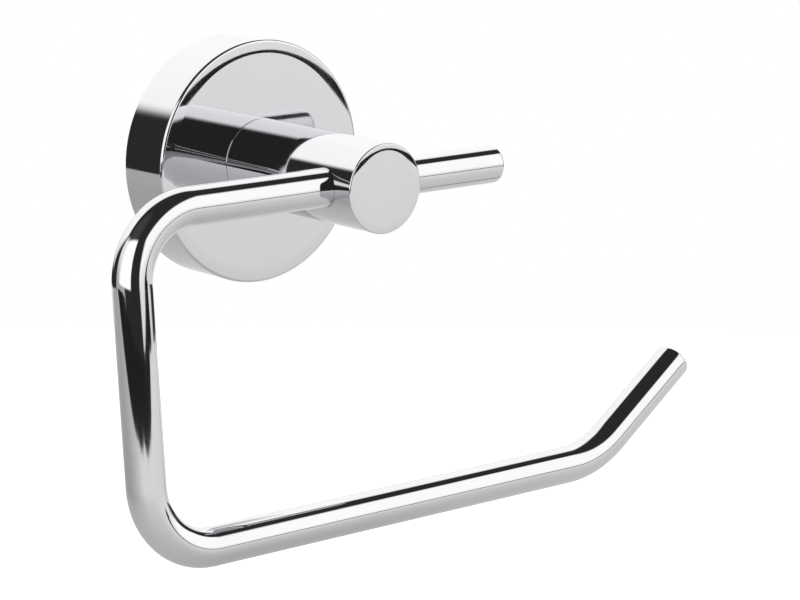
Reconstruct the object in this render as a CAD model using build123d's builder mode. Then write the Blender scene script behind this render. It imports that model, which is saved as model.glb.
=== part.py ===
from build123d import *
import os
from math import asin, cos, degrees, radians, sin

# Wall-mounted toilet roll holder with a swinging open arm. Lengths in mm, angles in degrees.
# The wall is the plane y = 0 and the holder reaches out along -Y, so a depth d lies at y = -d.
# X runs to the right along the wall, Z points up, and the origin is the centre of the rose's back.

# Rose and post.
rose_radius = 26.0
rose_depth = 13.0
rose_wall = 3.0
rose_face_wall = 2.3
rose_edge_width = 2.8
rose_edge_depth = 0.6
post_radius = 9.3
post_length = 54.0
post_edge_width = 1.2
post_edge_depth = 0.5

# Arm: one rod, bent in one plane. The reaches and the drop are from the pivot to the rod's centre line.
rod_radius = 4.0
rod_depth = 45.0
rod_end_round = 0.8
stub_reach = 37.1
leg_reach = 57.2
arm_drop = 67.9
bend_radius = 14.5
rail_end = 53.6
lip_bend_radius = 24.0
lip_angle = 34.0
lip_length = 25.8

# The arm leans out from plumb at rest, against its stop, and swings up from there.
rest_lean = 5.6
swing_range = 85.0

# Radial clearance of the rod in its bore, and of a screw or pin in its hole.
rod_play = 0.05
screw_play = 0.05

# Wall plate behind the rose.
plate_thickness = 5.5
plate_front_radius = 22.4
plate_back_radius = 21.4
plate_flat_height = 13.0
plate_pocket_radius = 7.0
plate_pocket_depth = 2.5
wall_hole_radius = 2.25
wall_hole_spacing = 28.0
countersink_radius = 4.5
countersink_angle = 90.0

# M5 button-head bolt, two washers and a locating pin that hold the post on the rose.
bolt_radius = 2.5
bolt_length = 14.0
bolt_head_radius = 4.75
bolt_head_height = 2.75
bolt_head_round = 1.4
bolt_socket_width = 3.0
bolt_socket_depth = 1.6
tapped_hole_slack = 1.5
washer_play = 0.2
flat_washer_radius = 5.0
flat_washer_thickness = 1.0
lock_washer_radius = 4.6
lock_washer_thickness = 1.2
lock_washer_split = 0.8
pin_radius = 1.25
pin_length = 6.0
pin_offset = 6.2

# M4 set screws: one locks the rose on the wall plate, the other holds the rod in the post.
set_screw_radius = 2.0
end_chamfer = 0.4
set_screw_point_radius = 1.25
set_screw_socket_width = 2.0
set_screw_socket_depth = 1.8
rose_screw_length = 4.0
rose_screw_depth = 3.2
arm_screw_length = 6.0
dog_length = 2.0

# Groove part of the way round the rod, for the dog point.
groove_width = 2.8
groove_depth = 1.2
dog_tip_play = 0.2

# Sizes that follow from these.
rose_inner_radius = rose_radius - rose_wall
rose_inner_depth = rose_depth - rose_face_wall
lock_washer_seat = rose_inner_depth - flat_washer_thickness
bolt_head_seat = lock_washer_seat - lock_washer_thickness
bolt_end = bolt_head_seat + bolt_length
groove_floor_radius = rod_radius - groove_depth
dog_tip_height = groove_floor_radius + dog_tip_play
arm_screw_foot = dog_tip_height + arm_screw_length
rim_taper = (plate_front_radius - plate_back_radius) / plate_thickness
rose_screw_tip = plate_back_radius + rim_taper * (rose_screw_depth + set_screw_point_radius)

# The dog point stops against a groove's end when the end is this far round from the screw's axis.
stop_angle = degrees(asin((set_screw_point_radius + screw_play) / dog_tip_height))
groove_arc = swing_range + 2 * stop_angle

# The rod's centre line crosses the post here and the arm turns about it, along X.
pivot = (0, -rod_depth, 0)
pivot_axis = Axis(pivot, (1, 0, 0))


def plane_through_pivot(angle):
    """A plane with its x along the pivot axis and its y straight up, turned by an angle about the axis."""
    return Plane(origin=pivot, x_dir=(1, 0, 0), z_dir=(0, -cos(radians(angle)), sin(radians(angle))))


def eased_bar(radius, back, front, edge_width, edge_depth):
    """A round bar along Y from one depth to another, its front rim eased by a quarter ellipse."""
    with BuildSketch(Plane.XY) as half_section:
        with BuildLine():
            Polyline((radius - edge_width, -front), (0, -front), (0, -back), (radius, -back))
            Line((radius, -back), (radius, edge_depth - front))
            rim_centre = (radius - edge_width, edge_depth - front)
            EllipticalCenterArc(rim_centre, edge_width, edge_depth, start_angle=270, arc_size=90)
        make_face()
    revolve(half_section.sketch, axis=Axis.Y)


def disc(plane, radius, thickness, mode=Mode.ADD):
    """A round disc, or a hole where the mode subtracts it, from a plane along its normal."""
    with BuildSketch(plane) as outline:
        Circle(radius)
    extrude(outline.sketch, amount=thickness, mode=mode)


def hex_socket(plane, width, depth):
    """A hexagon socket of this width across flats, sunk from a plane along its normal."""
    with BuildSketch(plane) as hexagon:
        RegularPolygon(radius=width / 2, side_count=6, major_radius=False)
    extrude(hexagon.sketch, amount=depth, mode=Mode.SUBTRACT)


def set_screw(foot, length, point_radius, point_length):
    """An M4 set screw along Z from its socket end up: a threaded body, then a point of smaller radius."""
    point_start = foot.offset(length - point_length)
    disc(foot, set_screw_radius, length - point_length)
    chamfer(faces().filter_by(Axis.Z).edges(), end_chamfer)
    disc(point_start, point_radius, point_length)
    hex_socket(foot, set_screw_socket_width, set_screw_socket_depth)


# Wall plate: screwed to the wall. Its rim narrows towards the wall, so the rose's screw draws it in.
# A flat at the top leaves the rose's hollow open towards the wall there.
with BuildPart() as wall_plate:
    with BuildSketch(Plane.XY):
        with BuildLine():
            Polyline(
                (0, 0),
                (plate_back_radius, 0),
                (plate_front_radius, -plate_thickness),
                (0, -plate_thickness),
                close=True,
            )
        make_face()
    revolve(axis=Axis.Y)
    split(bisect_by=Plane.XY.offset(plate_flat_height), keep=Keep.BOTTOM)
    plate_front = Plane.XZ.offset(plate_thickness)
    disc(plate_front, plate_pocket_radius, -plate_pocket_depth, Mode.SUBTRACT)
    with Locations(plate_front):
        with GridLocations(wall_hole_spacing, 0, 2, 1):
            CounterSinkHole(wall_hole_radius, countersink_radius, counter_sink_angle=countersink_angle)

# Rose: a round cup, open towards the wall, that hides the wall plate.
with BuildPart() as rose:
    eased_bar(rose_radius, 0, rose_depth, rose_edge_width, rose_edge_depth)
    disc(Plane.XZ, rose_inner_radius, rose_inner_depth, Mode.SUBTRACT)
    with BuildSketch(Plane.XZ.offset(rose_inner_depth)):
        Circle(bolt_radius + screw_play)
        with Locations((0, pin_offset)):
            Circle(pin_radius + screw_play)
    extrude(amount=rose_face_wall, mode=Mode.SUBTRACT)
    rose_screw_hole = Plane(origin=(0, -rose_screw_depth, -rose_radius), z_dir=(0, 0, 1))
    disc(rose_screw_hole, set_screw_radius + screw_play, 2 * rose_wall, Mode.SUBTRACT)

# Rose screw: from below through the rose's wall, its point against the wall plate's rim.
with BuildPart() as rose_screw:
    rose_screw_foot = rose_screw_tip + rose_screw_length
    rose_screw_plane = Plane(origin=(0, -rose_screw_depth, -rose_screw_foot), z_dir=(0, 0, 1))
    set_screw(rose_screw_plane, rose_screw_length, set_screw_point_radius, end_chamfer)

# Post: a solid bar that stands out from the rose, bored across for the rod.
with BuildPart() as post:
    eased_bar(post_radius, rose_depth, post_length, post_edge_width, post_edge_depth)
    with BuildSketch(Plane.YZ.offset(-post_radius)):
        with Locations((-rod_depth, 0)):
            Circle(rod_radius + rod_play)
    extrude(amount=2 * post_radius, mode=Mode.SUBTRACT)
    post_back = Plane.XZ.offset(rose_depth)
    bolt_hole_depth = bolt_end + tapped_hole_slack - rose_depth
    disc(post_back, bolt_radius + screw_play, bolt_hole_depth, Mode.SUBTRACT)
    pin_hole = Plane(origin=(0, -rose_depth, pin_offset), z_dir=(0, -1, 0))
    pin_hole_depth = rose_inner_depth + pin_length + screw_play - rose_depth
    disc(pin_hole, pin_radius + screw_play, pin_hole_depth, Mode.SUBTRACT)
    arm_screw_hole = Plane(origin=(0, -rod_depth, -post_radius), z_dir=(0, 0, 1))
    disc(arm_screw_hole, set_screw_radius + screw_play, post_radius, Mode.SUBTRACT)

# Post bolt: from inside the rose into the back of the post.
with BuildPart() as post_bolt:
    head_top = Plane.XZ.offset(bolt_head_seat - bolt_head_height)
    disc(head_top, bolt_head_radius, bolt_head_height)
    fillet(edges().group_by(Axis.Y)[-1], bolt_head_round)
    disc(Plane.XZ.offset(bolt_head_seat), bolt_radius, bolt_length)
    chamfer(edges().group_by(Axis.Y)[0], end_chamfer)
    hex_socket(head_top, bolt_socket_width, bolt_socket_depth)

# Lock washer: a split ring under the bolt's head.
with BuildPart() as lock_washer:
    with BuildSketch(Plane.XZ.offset(bolt_head_seat)):
        Circle(lock_washer_radius)
        Circle(bolt_radius + washer_play, mode=Mode.SUBTRACT)
        with Locations((lock_washer_radius / 2, 0)):
            Rectangle(lock_washer_radius, lock_washer_split, mode=Mode.SUBTRACT)
    extrude(amount=lock_washer_thickness)

# Flat washer: between the lock washer and the rose's inner face.
with BuildPart() as flat_washer:
    with BuildSketch(Plane.XZ.offset(lock_washer_seat)):
        Circle(flat_washer_radius)
        Circle(bolt_radius + washer_play, mode=Mode.SUBTRACT)
    extrude(amount=flat_washer_thickness)

# Locating pin: through the rose's face into the post, so that the post can't turn on its bolt.
with BuildPart() as locating_pin:
    pin_end = Plane(origin=(0, -rose_inner_depth, pin_offset), z_dir=(0, -1, 0))
    disc(pin_end, pin_radius, pin_length)
    chamfer(edges().group_by(Axis.Y)[0], end_chamfer)

# Arm screw: from below into the post, its dog point in the rod's groove.
with BuildPart() as arm_screw:
    arm_screw_plane = Plane(origin=(0, -rod_depth, -arm_screw_foot), z_dir=(0, 0, 1))
    set_screw(arm_screw_plane, arm_screw_length, set_screw_point_radius, dog_length)

# Roll arm: a stub through the post, a leg down, a rail back along the wall and a raised lip.
with BuildPart() as roll_arm:
    with BuildLine(plane_through_pivot(rest_lean)) as centre_line:
        bar = Line((stub_reach, 0), (bend_radius - leg_reach, 0))
        top_bend = JernArc(bar @ 1, bar % 1, bend_radius, 90)
        leg = Line(top_bend @ 1, (-leg_reach, bend_radius - arm_drop))
        low_bend = JernArc(leg @ 1, leg % 1, bend_radius, 90)
        rail = Line(low_bend @ 1, (rail_end, -arm_drop))
        lip_bend = JernArc(rail @ 1, rail % 1, lip_bend_radius, lip_angle)
        Line(lip_bend @ 1, lip_bend @ 1 + lip_length * (lip_bend % 1))
    with BuildSketch(Plane(origin=bar @ 0, z_dir=bar % 0)):
        Circle(rod_radius)
    sweep(path=centre_line.line)
    fillet(faces().filter_by(GeomType.PLANE).edges(), rod_end_round)
    # The groove starts on the room side of the screw's axis and runs round on the wall side.
    with BuildSketch(plane_through_pivot(stop_angle)):
        with Locations((0, -rod_radius)):
            Rectangle(groove_width, 2 * groove_depth)
    revolve(axis=pivot_axis, revolution_arc=groove_arc, mode=Mode.SUBTRACT)

os.makedirs("parts", exist_ok=True)
pieces = {
    "wall_plate": wall_plate,
    "rose": rose,
    "rose_screw": rose_screw,
    "post": post,
    "post_bolt": post_bolt,
    "lock_washer": lock_washer,
    "flat_washer": flat_washer,
    "locating_pin": locating_pin,
    "arm_screw": arm_screw,
    "roll_arm": roll_arm,
}
for name, piece in pieces.items():
    piece.part.label = name
    export_step(piece.part, f"parts/{name}.step")
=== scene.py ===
from math import cos, radians, sin

import bpy
import numpy as np
from mathutils import Matrix


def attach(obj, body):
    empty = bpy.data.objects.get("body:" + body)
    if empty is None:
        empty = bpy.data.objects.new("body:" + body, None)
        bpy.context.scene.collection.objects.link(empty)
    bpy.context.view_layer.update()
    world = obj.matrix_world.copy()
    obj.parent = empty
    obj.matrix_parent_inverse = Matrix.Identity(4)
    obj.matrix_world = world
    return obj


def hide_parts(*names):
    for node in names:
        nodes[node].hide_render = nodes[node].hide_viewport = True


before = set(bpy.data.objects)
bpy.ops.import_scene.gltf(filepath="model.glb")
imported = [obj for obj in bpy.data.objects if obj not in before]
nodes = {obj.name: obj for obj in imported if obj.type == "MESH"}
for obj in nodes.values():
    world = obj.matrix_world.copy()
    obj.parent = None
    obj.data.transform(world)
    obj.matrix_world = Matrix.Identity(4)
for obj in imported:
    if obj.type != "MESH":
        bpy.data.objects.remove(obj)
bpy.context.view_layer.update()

MM = 0.001

# Rose and post, in millimetres from the wall.
ROSE_RADIUS = 26.0
ROSE_DEPTH = 13.0
ROSE_FACE_RADIUS = 23.2
ROSE_INNER_RADIUS = 23.0
ROSE_INNER_DEPTH = 10.7
ROSE_BACK_ROUND = 0.15
ROSE_MOUTH_CHAMFER = 0.2
POST_RADIUS = 9.3
POST_LENGTH = 54.0
POST_FACE_RADIUS = 7.8
POST_FOOT_ROUND = 0.2
POST_POLE_RADIUS = 0.6
BOLT_HOLE_RADIUS = 2.55
BOLT_HOLE_END = 25.5
PIN_HEIGHT = 6.2
PIN_HOLE_RADIUS = 1.3
PIN_HOLE_END = 17.2
SCREW_HOLE_RADIUS = 2.0
ROSE_SCREW_DEPTH = 3.2

# Front edges: the slope where the flat face ends, how much it grows in a millimetre, and the rim's round.
ROSE_FRONT = {"first_slope": 0.0185, "crown_rate": 0.017, "edge_round": 0.6, "steps": 26}
POST_FRONT = {"first_slope": 0.0434, "crown_rate": 0.032, "edge_round": 0.25, "steps": 22}

# Arm: a round rod bent in one plane, which leans out from the wall at rest.
ROD_RADIUS = 4.0
ROD_DEPTH = 45.0
ROD_END_ROUND = 0.8
BORE_RADIUS = 4.05
STUB_REACH = 37.1
LEG_REACH = 57.2
ARM_DROP = 67.9
BEND_RADIUS = 14.5
RAIL_END = 53.6
LIP_BEND_RADIUS = 24.0
LIP_ANGLE = radians(34.0)
LIP_LENGTH = 25.8
REST_LEAN = radians(5.6)

# Groove round the rod where the arm screw's dog point runs, by angle from straight down.
GROOVE_HALF_WIDTH = 1.4
GROOVE_DEPTH = 1.2
GROOVE_START = radians(-110.68)
GROOVE_END = radians(25.68)

# The rail passes under the groove, so only the centre line's first stations can lie in the groove.
FIRST_BAR_STATIONS = 80


# ---------------------------------------------------------------- surfaces

def add_piece(name, points, faces):
    """A mesh object from points in millimetres and faces, smooth all over, its faces turned outwards."""
    mesh = bpy.data.meshes.new(name)
    mesh.from_pydata(points * MM, [], faces.tolist() if isinstance(faces, np.ndarray) else faces)
    mesh.update()
    mesh.calc_loop_triangles()
    count = len(mesh.loop_triangles)
    corner = np.empty(count * 3, np.int32)
    mesh.loop_triangles.foreach_get("vertices", corner)
    a, b, c = (points * MM)[corner.reshape(-1, 3)].transpose(1, 0, 2)
    if np.einsum("ij,ij->i", a, np.cross(b, c)).sum() < 0:
        mesh.flip_normals()
    mesh.polygons.foreach_set("use_smooth", np.ones(len(mesh.polygons), bool))
    piece = bpy.data.objects.new(name, mesh)
    bpy.context.scene.collection.objects.link(piece)
    return piece


def ring_faces(rings, around, closed):
    """Quads between neighbouring rings of a grid; a closed one joins its last ring to its first."""
    row = np.arange(rings if closed else rings - 1)
    column = np.arange(around)
    a = (row[:, None] * around + column).ravel()
    b = (row[:, None] * around + (column + 1) % around).ravel()
    step = ((row + 1) % rings)[:, None]
    c = (step * around + (column + 1) % around).ravel()
    d = (step * around + column).ravel()
    return np.stack([a, b, c, d], axis=1)


def capped_faces(rings, around):
    """The quads of an open stack of rings, and a fan of triangles to a pole at each end.

    The poles are the two points that follow the grid's own.
    """
    quads = ring_faces(rings, around, False)
    column = np.arange(around)
    after = (column + 1) % around
    last = (rings - 1) * around
    first_pole = np.full(around, rings * around)
    last_pole = first_pole + 1
    near = np.stack([after, column, first_pole], axis=1)
    far = np.stack([last + column, last + after, last_pole], axis=1)
    return quads.tolist() + near.tolist() + far.tolist()


def turned_ring(radius, depth, around):
    """A closed profile turned about Y: point (u, v) is (r(u) cos v, -d(u), r(u) sin v)."""
    angle = np.arange(around) * (2 * np.pi / around)
    x = radius[:, None] * np.cos(angle)
    y = -depth[:, None] * np.ones(around)
    z = radius[:, None] * np.sin(angle)
    return np.stack([x, y, z], axis=-1).reshape(-1, 3)


def bar_points(start, end, radius, around):
    """A plain round bar from one point to another: its two rings and two poles."""
    start, end = np.array(start, float), np.array(end, float)
    along = (end - start) / np.linalg.norm(end - start)
    side = np.cross(along, [0.0, 0.6, 0.8] if abs(along[0]) > 0.5 else [1.0, 0.0, 0.0])
    side = side / np.linalg.norm(side)
    other = np.cross(along, side)
    angle = np.arange(around)[:, None] * (2 * np.pi / around)
    ring = radius * (np.cos(angle) * side + np.sin(angle) * other)
    return np.concatenate([start + ring, end + ring, [start, end]])


def drill(piece, name, start, end, radius, around=96):
    """Cuts a round hole through a piece."""
    cutter = add_piece(name, bar_points(start, end, radius, around), capped_faces(2, around))
    cut = piece.modifiers.new(name, "BOOLEAN")
    cut.operation = "DIFFERENCE"
    cut.solver = "EXACT"
    cut.object = cutter
    bpy.context.view_layer.update()
    graph = bpy.context.evaluated_depsgraph_get()
    drilled = bpy.data.meshes.new_from_object(piece.evaluated_get(graph))
    piece.modifiers.clear()
    piece.data = drilled
    bpy.data.objects.remove(cutter)


def eased_front(radius, front, edge_start, first_slope, crown_rate, edge_round, steps):
    """Radii and depths of a turned front edge, from the flat face out to the side wall.

    Past the edge's start the face falls away by a first slope times the distance, plus half the crown
    rate times its square, and a quarter round of the edge's own radius is added over its last stretch.
    """
    crown = np.linspace(edge_start, radius - edge_round, steps, endpoint=False)
    turn = np.linspace(0, np.pi / 2, steps)
    rounded = radius - edge_round + edge_round * np.sin(turn)
    r = np.concatenate([crown, rounded])
    fall = first_slope * (r - edge_start) + 0.5 * crown_rate * (r - edge_start) ** 2
    fall[steps:] += edge_round * (1 - np.cos(turn))
    return r, front - fall


def true_wall_normals(piece, radius):
    """Gives the side wall its exact normals, straight out from the Y axis, whatever its faces' shapes."""
    mesh = piece.data
    mesh.polygons.foreach_set("use_smooth", np.ones(len(mesh.polygons), bool))
    mesh.set_sharp_from_angle(angle=radians(25))
    mesh.update()
    corners = len(mesh.loops)
    normal = np.empty(corners * 3, np.float32)
    mesh.corner_normals.foreach_get("vector", normal)
    normal = normal.reshape(-1, 3)
    vertex = np.empty(corners, np.int32)
    mesh.loops.foreach_get("vertex_index", vertex)
    points = np.empty(len(mesh.vertices) * 3, np.float32)
    mesh.vertices.foreach_get("co", points)
    place = points.reshape(-1, 3)[vertex] / MM
    counts = np.empty(len(mesh.polygons), np.int32)
    mesh.polygons.foreach_get("loop_total", counts)
    flat = np.empty(len(mesh.polygons) * 3, np.float32)
    mesh.polygons.foreach_get("normal", flat)
    flat = np.repeat(flat.reshape(-1, 3), counts, axis=0)
    distance = np.hypot(place[:, 0], place[:, 2])
    outward = place * [1.0, 0.0, 1.0] / np.maximum(distance, 1e-6)[:, None]
    wall = (abs(distance - radius) < 0.02) & ((flat * outward).sum(1) > 0.99) & (abs(flat[:, 1]) < 1e-3)
    normal[wall] = outward[wall]
    mesh.normals_split_custom_set(normal.tolist())


# ---------------------------------------------------------------- pieces

def make_rose():
    """A turned cup: a flat face with a gently crowned edge, a side wall, and the hollow behind."""
    edge_r, edge_d = eased_front(ROSE_RADIUS, ROSE_DEPTH, ROSE_FACE_RADIUS, **ROSE_FRONT)
    wall_d = np.linspace(edge_d[-1], ROSE_BACK_ROUND, 24)[1:]
    back_turn = np.linspace(0, np.pi / 2, 6)
    face_r = np.linspace(BOLT_HOLE_RADIUS, ROSE_FACE_RADIUS - 0.08, 24)
    inner_r = np.linspace(ROSE_INNER_RADIUS, BOLT_HOLE_RADIUS, 12)
    r = np.concatenate([
        face_r, edge_r, np.full(len(wall_d), ROSE_RADIUS),
        ROSE_RADIUS - ROSE_BACK_ROUND + ROSE_BACK_ROUND * np.cos(back_turn[1:]),
        [ROSE_INNER_RADIUS + ROSE_MOUTH_CHAMFER, ROSE_INNER_RADIUS, ROSE_INNER_RADIUS, ROSE_INNER_RADIUS],
        inner_r,
    ])
    d = np.concatenate([
        np.full(len(face_r), ROSE_DEPTH), edge_d, wall_d,
        ROSE_BACK_ROUND - ROSE_BACK_ROUND * np.sin(back_turn[1:]),
        [0.0, ROSE_MOUTH_CHAMFER, 3.0, 7.0],
        np.full(len(inner_r), ROSE_INNER_DEPTH),
    ])
    around = 384
    piece = add_piece("rose_shell", turned_ring(r, d, around), ring_faces(len(r), around, True))
    drill(piece, "rose_screw_hole",
          (0, -ROSE_SCREW_DEPTH, -21), (0, -ROSE_SCREW_DEPTH, -28), SCREW_HOLE_RADIUS)
    drill(piece, "rose_pin_hole", (0, -9, PIN_HEIGHT), (0, -15, PIN_HEIGHT), PIN_HOLE_RADIUS, 48)
    true_wall_normals(piece, ROSE_RADIUS)
    return piece


def make_post():
    """A turned round post: crowned front, straight wall, slightly rounded foot, and a bore for the rod."""
    edge_r, edge_d = eased_front(POST_RADIUS, POST_LENGTH, POST_FACE_RADIUS, **POST_FRONT)
    wall_d = np.linspace(edge_d[-1], ROSE_DEPTH + POST_FOOT_ROUND, 40)[1:]
    face_r = np.linspace(POST_POLE_RADIUS, POST_FACE_RADIUS - 0.06, 14)
    foot_turn = np.linspace(0, np.pi / 2, 9)[1:]
    back_r = np.linspace(POST_RADIUS - POST_FOOT_ROUND, POST_POLE_RADIUS, 6)[1:]
    r = np.concatenate([
        face_r, edge_r, np.full(len(wall_d), POST_RADIUS),
        POST_RADIUS - POST_FOOT_ROUND * (1 - np.cos(foot_turn)), back_r,
    ])
    d = np.concatenate([
        np.full(len(face_r), POST_LENGTH), edge_d, wall_d,
        ROSE_DEPTH + POST_FOOT_ROUND * (1 - np.sin(foot_turn)), np.full(len(back_r), ROSE_DEPTH),
    ])
    around = 256
    poles = [[0, -POST_LENGTH, 0], [0, -ROSE_DEPTH, 0]]
    points = np.concatenate([turned_ring(r, d, around), poles])
    piece = add_piece("post_turned", points, capped_faces(len(r), around))
    drill(piece, "rod_bore", (-12, -ROD_DEPTH, 0), (12, -ROD_DEPTH, 0), BORE_RADIUS, 160)
    drill(piece, "arm_screw_hole", (0, -ROD_DEPTH, -2), (0, -ROD_DEPTH, -12), SCREW_HOLE_RADIUS)
    drill(piece, "bolt_hole", (0, -10, 0), (0, -BOLT_HOLE_END, 0), BOLT_HOLE_RADIUS, 64)
    drill(piece, "pin_hole", (0, -10, PIN_HEIGHT), (0, -PIN_HOLE_END, PIN_HEIGHT), PIN_HOLE_RADIUS, 48)
    true_wall_normals(piece, POST_RADIUS)
    return piece


def rod_centre_line():
    """Stations along the rod's centre line, and the heading at each, in the arm's own plane.

    Straight runs and round bends follow one another: a run moves along the heading, and a bend of
    radius R through an angle moves round a centre at R to the left, turning the heading with it.
    """
    place = [np.zeros((0, 2))]
    turned = [np.zeros(0)]
    here = np.array([STUB_REACH, 0.0])
    heading = np.pi

    def run(offsets):
        nonlocal here
        way = np.array([cos(heading), sin(heading)])
        place.append(here + offsets[:, None] * way)
        turned.append(np.full(len(offsets), heading))
        here = place[-1][-1]

    def bend(radius, angle, steps):
        nonlocal here, heading
        centre = here + radius * np.array([-sin(heading), cos(heading)])
        headings = heading + np.linspace(0, angle, steps + 1)[1:]
        place.append(centre + radius * np.stack([np.sin(headings), -np.cos(headings)], axis=1))
        turned.append(headings)
        here, heading = place[-1][-1], headings[-1]

    edge = STUB_REACH - GROOVE_HALF_WIDTH
    other_edge = STUB_REACH + GROOVE_HALF_WIDTH
    bar_length = STUB_REACH + LEG_REACH - BEND_RADIUS
    end_round = ROD_END_ROUND * (1 - np.cos(np.linspace(0, np.pi / 2, 11)))
    run(np.concatenate([
        [0.0], end_round, np.linspace(2.0, edge - 0.02, 24),
        [edge, edge + 0.001], np.linspace(edge + 0.2, other_edge - 0.2, 6),
        [other_edge - 0.001, other_edge], np.linspace(other_edge + 0.5, bar_length, 30),
    ]))
    bend(BEND_RADIUS, np.pi / 2, 56)
    run(np.linspace(1.0, ARM_DROP - 2 * BEND_RADIUS, 20))
    bend(BEND_RADIUS, np.pi / 2, 56)
    run(np.linspace(1.0, RAIL_END + LEG_REACH - BEND_RADIUS, 48))
    bend(LIP_BEND_RADIUS, LIP_ANGLE, 30)
    run(np.concatenate([np.linspace(0.6, LIP_LENGTH - ROD_END_ROUND, 14)[:-1],
                        LIP_LENGTH - end_round[::-1], [LIP_LENGTH]]))
    return np.concatenate(place), np.concatenate(turned)


def make_roll_arm():
    """A circle carried along the centre line, its radius drawn in at the two ends and in the groove.

    A point at angle v round a station is centre + r (cos v side + sin v across), where side lies in the
    arm's plane square to the heading, and across is square to the plane.
    """
    place, turned = rod_centre_line()
    plane_x = np.array([1.0, 0.0, 0.0])
    plane_y = np.array([0.0, sin(REST_LEAN), cos(REST_LEAN)])
    across = np.cross(plane_x, plane_y)
    centre = place[:, :1] * plane_x + place[:, 1:] * plane_y + [0.0, -ROD_DEPTH, 0.0]
    side = -np.sin(turned)[:, None] * plane_x + np.cos(turned)[:, None] * plane_y

    # Lines along the rod, with a pair close together at each end of the groove.
    evenly = np.arange(128) * (2 * np.pi / 128)
    groove_ends = np.array([GROOVE_START, GROOVE_START - 1e-4, GROOVE_END, GROOVE_END + 1e-4]) - REST_LEAN
    angle = np.unique(np.mod(np.concatenate([evenly, groove_ends]), 2 * np.pi))
    around = len(angle)

    end_turn = np.linspace(0, np.pi / 2, 11)
    radius = np.full(len(place), ROD_RADIUS)
    radius[0] = radius[-1] = 0.5 * (ROD_RADIUS - ROD_END_ROUND)
    radius[1:12] = ROD_RADIUS - ROD_END_ROUND + ROD_END_ROUND * np.sin(end_turn)
    radius[-12:-1] = radius[1:12][::-1]
    radius = np.repeat(radius[:, None], around, axis=1)

    first_bar = np.arange(len(place)) < FIRST_BAR_STATIONS
    in_width = first_bar & (abs(place[:, 0]) < GROOVE_HALF_WIDTH - 0.0005)
    swing = np.mod(angle + REST_LEAN + np.pi, 2 * np.pi) - np.pi
    in_arc = (swing > GROOVE_START - 2e-5) & (swing < GROOVE_END + 2e-5)
    radius -= GROOVE_DEPTH * (in_width[:, None] & in_arc[None, :])

    # On the bar the heading is -X, so side points down and across points into the room.
    ring = np.cos(angle)[:, None] * side[:, None, :] + np.sin(angle)[:, None] * across
    points = (centre[:, None, :] + radius[..., None] * ring).reshape(-1, 3)
    points = np.concatenate([points, centre[:1], centre[-1:]])
    piece = add_piece("roll_arm_rod", points, capped_faces(len(place), around))
    piece.data.set_sharp_from_angle(angle=radians(40))
    return piece


# ---------------------------------------------------------------- finishes

def new_material(name):
    """A node material with only a Principled shader in it: the material, its node tree and the shader."""
    material = bpy.data.materials.new(name)
    material.use_nodes = True
    tree = material.node_tree
    tree.nodes.clear()
    shader = tree.nodes.new("ShaderNodeBsdfPrincipled")
    output = tree.nodes.new("ShaderNodeOutputMaterial")
    tree.links.new(shader.outputs["BSDF"], output.inputs["Surface"])
    return material, tree, shader


def object_coordinates(tree, scale):
    """Object coordinates through a Mapping node that stretches them by a scale for each axis."""
    coordinates = tree.nodes.new("ShaderNodeTexCoord")
    mapping = tree.nodes.new("ShaderNodeMapping")
    mapping.inputs["Scale"].default_value = scale
    tree.links.new(coordinates.outputs["Object"], mapping.inputs["Vector"])
    return mapping.outputs["Vector"]


def noise(tree, vector, scale, detail, distortion=0.0):
    """A noise pattern's value."""
    node = tree.nodes.new("ShaderNodeTexNoise")
    node.inputs["Scale"].default_value = scale
    node.inputs["Detail"].default_value = detail
    node.inputs["Distortion"].default_value = distortion
    tree.links.new(vector, node.inputs["Vector"])
    return node.outputs["Fac"]


def spread(tree, value, low, high, from_low=0.3, from_high=0.7):
    """Maps a pattern's middle range onto low to high."""
    node = tree.nodes.new("ShaderNodeMapRange")
    node.inputs["From Min"].default_value = from_low
    node.inputs["From Max"].default_value = from_high
    node.inputs["To Min"].default_value = low
    node.inputs["To Max"].default_value = high
    tree.links.new(value, node.inputs["Value"])
    return node.outputs["Result"]


def maths(tree, operation, *values, kind="ShaderNodeMath", result="Value"):
    """A maths node's result: numbers and vectors are set on its inputs, and sockets are linked to them."""
    node = tree.nodes.new(kind)
    node.operation = operation
    for socket, value in zip(node.inputs, values):
        if isinstance(value, bpy.types.NodeSocket):
            tree.links.new(value, socket)
        else:
            socket.default_value = value
    return node.outputs[result]


def vector_maths(tree, operation, *values, result="Value"):
    """A vector maths node's result."""
    return maths(tree, operation, *values, kind="ShaderNodeVectorMath", result=result)


def colour_between(tree, value, stops):
    """A colour ramp over a pattern, from (position, colour) stops."""
    ramp = tree.nodes.new("ShaderNodeValToRGB")
    ramp.color_ramp.elements[0].position, ramp.color_ramp.elements[0].color = stops[0]
    ramp.color_ramp.elements[1].position, ramp.color_ramp.elements[1].color = stops[-1]
    for position, colour in stops[1:-1]:
        ramp.color_ramp.elements.new(position).color = colour
    tree.links.new(value, ramp.inputs["Fac"])
    return ramp.outputs["Color"]


def bump(tree, shader, height, strength, distance):
    """Raises the surface by a pattern, by a distance in metres."""
    node = tree.nodes.new("ShaderNodeBump")
    node.inputs["Strength"].default_value = strength
    node.inputs["Distance"].default_value = distance
    tree.links.new(height, node.inputs["Height"])
    tree.links.new(node.outputs["Normal"], shader.inputs["Normal"])


def grey(value, warmth=0.0):
    """A grey, turned a little towards red by a warmth above 0 or towards blue by one below."""
    return (value * (1 + warmth), value, value * (1 - warmth), 1.0)


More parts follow.
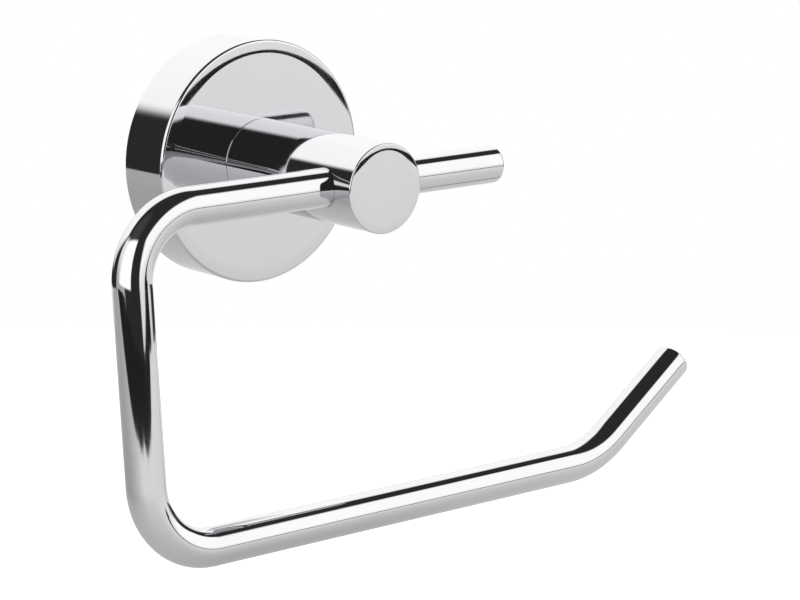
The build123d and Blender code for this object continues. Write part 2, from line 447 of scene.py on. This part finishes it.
def polished_chrome():
    """Bright mirror plating: wipe marks in its gloss, and the faint swell left by the buffing wheel."""
    material, tree, shader = new_material("polished_chrome")
    vector = object_coordinates(tree, (1.0, 1.0, 1.0))
    wipes = noise(tree, object_coordinates(tree, (1.0, 0.35, 0.35)), 90.0, 4.0, 0.6)
    clouds = noise(tree, vector, 60.0, 3.0)
    shader.inputs["Metallic"].default_value = 1.0
    stops = [(0.3, (0.653, 0.648, 0.665, 1.0)), (0.7, (0.669, 0.664, 0.681, 1.0))]
    colour = colour_between(tree, clouds, stops)
    tree.links.new(colour, shader.inputs["Base Color"])
    tree.links.new(spread(tree, wipes, 0.028, 0.052), shader.inputs["Roughness"])
    bump(tree, shader, noise(tree, vector, 220.0, 2.0), 0.02, 0.0001)
    return material


def cast_zinc():
    """Die-cast zinc, left as cast: a fine sandy skin, mottled, slightly shinier where it stands proud."""
    material, tree, shader = new_material("cast_zinc")
    vector = object_coordinates(tree, (1.0, 1.0, 1.0))
    grain = noise(tree, vector, 2600.0, 5.0)
    clouds = noise(tree, vector, 180.0, 4.0, 0.8)
    shader.inputs["Metallic"].default_value = 1.0
    stops = [(0.3, grey(0.40, -0.02)), (0.5, grey(0.48)), (0.72, grey(0.56, -0.01))]
    tree.links.new(colour_between(tree, clouds, stops), shader.inputs["Base Color"])
    tree.links.new(spread(tree, clouds, 0.58, 0.40), shader.inputs["Roughness"])
    bump(tree, shader, grain, 0.5, 0.00006)
    return material


def plated_steel():
    """Bright zinc plate on steel: a pale bluish tint with faint warm patches, over fine drawing lines."""
    material, tree, shader = new_material("plated_steel")
    vector = object_coordinates(tree, (1.0, 1.0, 1.0))
    patches = noise(tree, vector, 260.0, 3.0, 0.5)
    lines = noise(tree, object_coordinates(tree, (1.0, 0.08, 1.0)), 4200.0, 2.0)
    shader.inputs["Metallic"].default_value = 1.0
    stops = [(0.3, (0.60, 0.63, 0.67, 1.0)), (0.55, (0.68, 0.69, 0.70, 1.0)), (0.75, (0.70, 0.68, 0.62, 1.0))]
    tree.links.new(colour_between(tree, patches, stops), shader.inputs["Base Color"])
    tree.links.new(spread(tree, lines, 0.24, 0.38), shader.inputs["Roughness"])
    bump(tree, shader, lines, 0.25, 0.00003)
    return material


def stainless_steel():
    """Plain stainless: even grey, with the fine marks of turning."""
    material, tree, shader = new_material("stainless_steel")
    vector = object_coordinates(tree, (1.0, 1.0, 1.0))
    turning = noise(tree, object_coordinates(tree, (0.15, 0.15, 1.0)), 5200.0, 2.0)
    patches = noise(tree, vector, 320.0, 3.0)
    shader.inputs["Metallic"].default_value = 1.0
    stops = [(0.3, grey(0.50, 0.01)), (0.7, grey(0.60, 0.015))]
    tree.links.new(colour_between(tree, patches, stops), shader.inputs["Base Color"])
    tree.links.new(spread(tree, turning, 0.22, 0.36), shader.inputs["Roughness"])
    bump(tree, shader, turning, 0.25, 0.00002)
    return material


finishes = {
    "polished_chrome": polished_chrome(),
    "cast_zinc": cast_zinc(),
    "plated_steel": plated_steel(),
    "stainless_steel": stainless_steel(),
}

rose = make_rose()
post = make_post()
roll_arm = make_roll_arm()
for piece, node, body in ((rose, "rose", "holder"), (post, "post", "holder"), (roll_arm, "roll_arm", "arm")):
    piece.data.materials.clear()
    piece.data.materials.append(finishes["polished_chrome"])
    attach(piece, body)
    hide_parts(node)

kept = {
    "wall_plate": "cast_zinc", "post_bolt": "plated_steel", "lock_washer": "plated_steel",
    "flat_washer": "plated_steel", "locating_pin": "plated_steel",
    "rose_screw": "stainless_steel", "arm_screw": "stainless_steel",
}
for node, finish in kept.items():
    for index in range(max(1, len(nodes[node].material_slots))):
        if nodes[node].material_slots:
            nodes[node].material_slots[index].material = finishes[finish]
        else:
            nodes[node].data.materials.append(finishes[finish])


# ---------------------------------------------------------------- studio

# How much light the chrome returns, and the display level, from 0 to 255, that each part of the
# studio shows in it.
CHROME_RETURN = 0.66
CEILING_LEVEL = 40
CEILING_LEFT_LEVEL = 62
LEFT_WING_LEVELS = (165, 222)
LEFT_BOX_LEVEL = 256
RIGHT_BOX_LEVELS = (218, 250)
BACK_BOX_LEVELS = (228, 244)
BELOW_LEVEL = 205


def heading(azimuth, elevation):
    """The direction at an azimuth from -Y towards +X and an elevation, in degrees."""
    a, e = radians(azimuth), radians(elevation)
    return np.array([sin(a) * cos(e), -cos(a) * cos(e), sin(e)])


def tone(level):
    """The light that shows as a display level from 0 to 255, off chrome that returns two thirds of it."""
    level = level / 255
    return (((level + 0.055) / 1.055) ** 2.4) / CHROME_RETURN


world = bpy.data.worlds.new("studio")
bpy.context.scene.world = world
world.use_nodes = True
sky = world.node_tree
sky.nodes.clear()
direction = sky.nodes.new("ShaderNodeTexCoord").outputs["Generated"]


def along(axis):
    """How far the direction points along an axis."""
    return vector_maths(sky, "DOT_PRODUCT", direction, [float(v) for v in axis])


def step(value, low, high):
    """0 below low, 1 above high, and a smooth rise between."""
    node = sky.nodes.new("ShaderNodeMapRange")
    node.interpolation_type = "SMOOTHSTEP"
    node.inputs["From Min"].default_value = low
    node.inputs["From Max"].default_value = high
    sky.links.new(value, node.inputs["Value"])
    return node.outputs["Result"]


def light_panel(corners, softness):
    """1 inside a panel whose edges are the planes through neighbouring corners and the centre, 0 outside."""
    inside = None
    ways = [heading(*corner) for corner in corners]
    for index, soft in enumerate(softness):
        normal = np.cross(ways[index], ways[(index + 1) % len(ways)])
        normal = normal / np.linalg.norm(normal)
        edge = step(along(normal), -sin(radians(soft)), sin(radians(soft)))
        inside = edge if inside is None else maths(sky, "MULTIPLY", inside, edge)
    return inside


def over(below, above, mask):
    """One light laid over another where the mask is 1."""
    node = sky.nodes.new("ShaderNodeMix")
    for name, value in (("Factor", mask), ("A", below), ("B", above)):
        if isinstance(value, bpy.types.NodeSocket):
            sky.links.new(value, node.inputs[name])
        else:
            node.inputs[name].default_value = value
    return node.outputs["Result"]


def glow(azimuth, elevation, reach):
    """A soft round patch, 1 at its middle and 0 at its reach in degrees."""
    return step(along(heading(azimuth, elevation)), cos(radians(reach)), 1.0)


# Three big soft boxes round the holder, under a dark ceiling, with pale surroundings below them.
# The left box dims towards the back, where it runs down to the table.
upward = along((0, 0, 1))


def rising(levels, low, high):
    """A light that goes from one level to another between two elevations in degrees."""
    return over(tone(levels[0]), tone(levels[1]), step(upward, sin(radians(low)), sin(radians(high))))


left_wing = light_panel(
    [(-131, -12), (-76, -12), (-88, 41), (-133, 37.5), (-138, 22)],
    [3, 4, 4, 3, 3])
left_box = light_panel(
    [(-112, -1), (-43, -1.5), (-47.5, 42.5), (-112, 40)],
    [1.5, 2, 2, 12])
right_box = light_panel(
    [(9, -7), (84, -7), (97, 38), (67, 46.5), (28, 58), (-22.5, 48.5)],
    [2.5, 4, 3.5, 2, 3.5, 3])
back_box = light_panel(
    [(118, -4), (-178, -4), (-146, 26.5), (-138, 37), (-164, 60), (138, 64), (106, 48)],
    [2, 5, 3, 3, 5, 4, 4])
below = step(along((0, 0, -1)), sin(radians(10)), sin(radians(12)))

light = over(tone(CEILING_LEVEL), tone(CEILING_LEFT_LEVEL), glow(-85, 55, 30))
light = over(light, rising(LEFT_WING_LEVELS, 0, 26), left_wing)
light = over(light, tone(LEFT_BOX_LEVEL), left_box)
light = over(light, rising(RIGHT_BOX_LEVELS, -4, 8), right_box)
light = over(light, rising(BACK_BOX_LEVELS, 5, 35), back_box)
light = over(light, tone(BELOW_LEVEL), below)

lamp = sky.nodes.new("ShaderNodeBackground")
sky.links.new(light, lamp.inputs["Color"])
plain = sky.nodes.new("ShaderNodeBackground")
plain.inputs["Color"].default_value = (1.0, 1.0, 1.0, 1.0)
path = sky.nodes.new("ShaderNodeLightPath")
both = sky.nodes.new("ShaderNodeMixShader")
sky.links.new(path.outputs["Is Camera Ray"], both.inputs["Fac"])
sky.links.new(lamp.outputs["Background"], both.inputs[1])
sky.links.new(plain.outputs["Background"], both.inputs[2])
end = sky.nodes.new("ShaderNodeOutputWorld")
sky.links.new(both.outputs["Shader"], end.inputs["Surface"])


# The table that the polish reflects, put in as glowing cards that only reflections see, a painted reflection:
# its top's depth, its outline seen from above, and its dark raised edge, a painted dark band.
TABLE_HEIGHT = -120.0
TABLE_EDGE_HEIGHT = 44.0
TABLE_OUTLINE = [
    (-480, 560), (-560, 250), (-560, -60), (-560, -360), (-430, -760), (-20, -930),
    (719, -929), (760, -500), (682, -236), (494, 90), (284, 207), (-20, 349),
]
TABLE_EDGE_CORNERS = slice(1, 8)
# Level of the raised edge's painted dark band.
TABLE_PAINTED_BAND_LEVEL = 30

# The table top's levels by distance from a point under the holder, darker close to it as a painted shadow of
# the holder, that point's depth from the wall, and where the levels stop, in metres.
PAINTED_TABLE_LEVELS = [(0, 165), (35, 168), (80, 179), (150, 190), (300, 200), (470, 208), (670, 211), (1100, 218)]
PAINTED_SHADOW_CENTRE_DEPTH = 50.0
PAINTED_TABLE_REACH = 1.2

# Painted shade: the table top loses up to this share of its light towards an azimuth in degrees, more and
# more from one distance in metres to another.
TABLE_PAINTED_SHADE_SHARE = 0.45
TABLE_PAINTED_SHADE_AZIMUTH = -135
TABLE_PAINTED_SHADE_FROM, TABLE_PAINTED_SHADE_TO = 0.04, 0.25


def painted_reflection_card(name, points, faces, material):
    """A studio card that only reflections see, for a painted reflection."""
    mesh = bpy.data.meshes.new(name)
    mesh.from_pydata(np.array(points, float) * MM, [], faces)
    mesh.update()
    mesh.materials.append(material)
    card = bpy.data.objects.new(name, mesh)
    bpy.context.scene.collection.objects.link(card)
    card.visible_camera = False
    card.visible_diffuse = False
    card.visible_shadow = False


def glowing(name):
    """A material that only gives out light, and its tree and Emission node."""
    material = bpy.data.materials.new(name)
    material.use_nodes = True
    tree = material.node_tree
    tree.nodes.clear()
    lamp = tree.nodes.new("ShaderNodeEmission")
    output = tree.nodes.new("ShaderNodeOutputMaterial")
    tree.links.new(lamp.outputs["Emission"], output.inputs["Surface"])
    return material, tree, lamp


def make_painted_table_cards():
    """The table top, a glowing card that only reflections see: a painted reflection, with a painted shadow
    that makes it dimmer close under the holder and painted shade towards the back left, and its dark edge, a
    painted dark band.
    """
    # A glowing card that only reflections see: a painted reflection of a lit table.
    material, tree, lamp = glowing("painted_table_top")
    place = tree.nodes.new("ShaderNodeTexCoord").outputs["Object"]
    centre = (0.0, PAINTED_SHADOW_CENTRE_DEPTH * MM, -TABLE_HEIGHT * MM)
    centred = vector_maths(tree, "ADD", place, centre, result="Vector")
    reach = vector_maths(tree, "LENGTH", centred)
    share = maths(tree, "DIVIDE", reach, PAINTED_TABLE_REACH)
    # Painted shadow: the table's levels fall close under the holder.
    stops = [(distance * MM / PAINTED_TABLE_REACH, [tone(level)] * 3 + [1.0]) for distance, level in PAINTED_TABLE_LEVELS]
    tree.links.new(colour_between(tree, share, stops), lamp.inputs["Color"])

    # Painted shade: the table top loses light towards the back left.
    way = vector_maths(tree, "NORMALIZE", centred, result="Vector")
    painted_shade_way = [float(v) for v in heading(TABLE_PAINTED_SHADE_AZIMUTH, 0)]
    side = spread(tree, vector_maths(tree, "DOT_PRODUCT", way, painted_shade_way), 0.0, TABLE_PAINTED_SHADE_SHARE, 0.1, 1.0)
    away = spread(tree, reach, 0.0, 1.0, TABLE_PAINTED_SHADE_FROM, TABLE_PAINTED_SHADE_TO)
    painted_shade_strength = maths(tree, "SUBTRACT", 1.0, maths(tree, "MULTIPLY", side, away))
    tree.links.new(painted_shade_strength, lamp.inputs["Strength"])

    outline = [(x, y, TABLE_HEIGHT) for x, y in TABLE_OUTLINE]
    painted_reflection_card("painted_table_top", outline, [list(range(len(outline)))], material)

    # The raised edge, a card glowing dark that only reflections see: a painted dark band.
    edge_material, _, dark_band_glow = glowing("painted_table_edge_band")
    dark_band_glow.inputs["Color"].default_value = [tone(TABLE_PAINTED_BAND_LEVEL)] * 3 + [1.0]
    low = outline[TABLE_EDGE_CORNERS]
    high = [(x, y, TABLE_HEIGHT + TABLE_EDGE_HEIGHT) for x, y, _ in low]
    count = len(low)
    walls = [(i, i + 1, count + i + 1, count + i) for i in range(count - 1)]
    painted_reflection_card("painted_table_edge_band", low + high, walls, edge_material)


make_painted_table_cards()


FLOOR_DEPTH = 1400
FLOOR_RADII = (6000, 600)
FLOOR_GLOW = 0.62


def make_floor():
    """A plain pale disc well below the holder, given enough light of its own to meet the backdrop."""
    around = 96
    angle = np.arange(around) * (2 * np.pi / around)
    ring = np.stack([np.cos(angle), np.sin(angle), np.zeros(around)], axis=1)
    outer, inner = FLOOR_RADII
    points = np.concatenate([ring * outer, ring * inner, [[0, 0, 0]]]) + [0, 0, -FLOOR_DEPTH]
    quads = ring_faces(2, around, False).tolist()
    column = np.arange(around)
    fan = np.stack([around + column, around + (column + 1) % around, np.full(around, 2 * around)], axis=1)
    mesh = bpy.data.meshes.new("floor")
    mesh.from_pydata(points * MM, [], quads + fan.tolist())
    mesh.update()
    floor = bpy.data.objects.new("floor", mesh)
    bpy.context.scene.collection.objects.link(floor)
    material, tree, shader = new_material("pale_floor")
    shader.inputs["Base Color"].default_value = (0.90, 0.90, 0.90, 1.0)
    shader.inputs["Roughness"].default_value = 0.9
    shader.inputs["Emission Color"].default_value = (1.0, 1.0, 1.0, 1.0)
    shader.inputs["Emission Strength"].default_value = FLOOR_GLOW
    mesh.materials.append(material)
    floor.visible_glossy = False


make_floor()

# Camera: where it stands in millimetres, its turn about Z, its height angle and its slight roll.
CAMERA_PLACE = (-381.45, -508.36, 107.05)
CAMERA_AZIMUTH = radians(-40.307)
CAMERA_ELEVATION = radians(12.359)
CAMERA_ROLL = radians(0.397)
CAMERA_LENS = 134.36

a, e, roll = CAMERA_AZIMUTH, CAMERA_ELEVATION, CAMERA_ROLL
back = np.array([sin(a) * cos(e), -cos(a) * cos(e), sin(e)])
right = np.array([cos(a), sin(a), 0.0])
up = np.cross(back, right)
columns = [right * cos(roll) + up * sin(roll), up * cos(roll) - right * sin(roll), back]
lens = bpy.data.cameras.new("camera")
lens.lens = CAMERA_LENS
lens.sensor_width = 36.0
lens.clip_start = 0.01
camera = bpy.data.objects.new("camera", lens)
bpy.context.scene.collection.objects.link(camera)
turn = Matrix([[float(column[row]) for column in columns] for row in range(3)]).to_4x4()
camera.matrix_world = Matrix.Translation([v * MM for v in CAMERA_PLACE]) @ turn
bpy.context.scene.camera = camera
bpy.context.scene.view_settings.view_transform = "Standard"
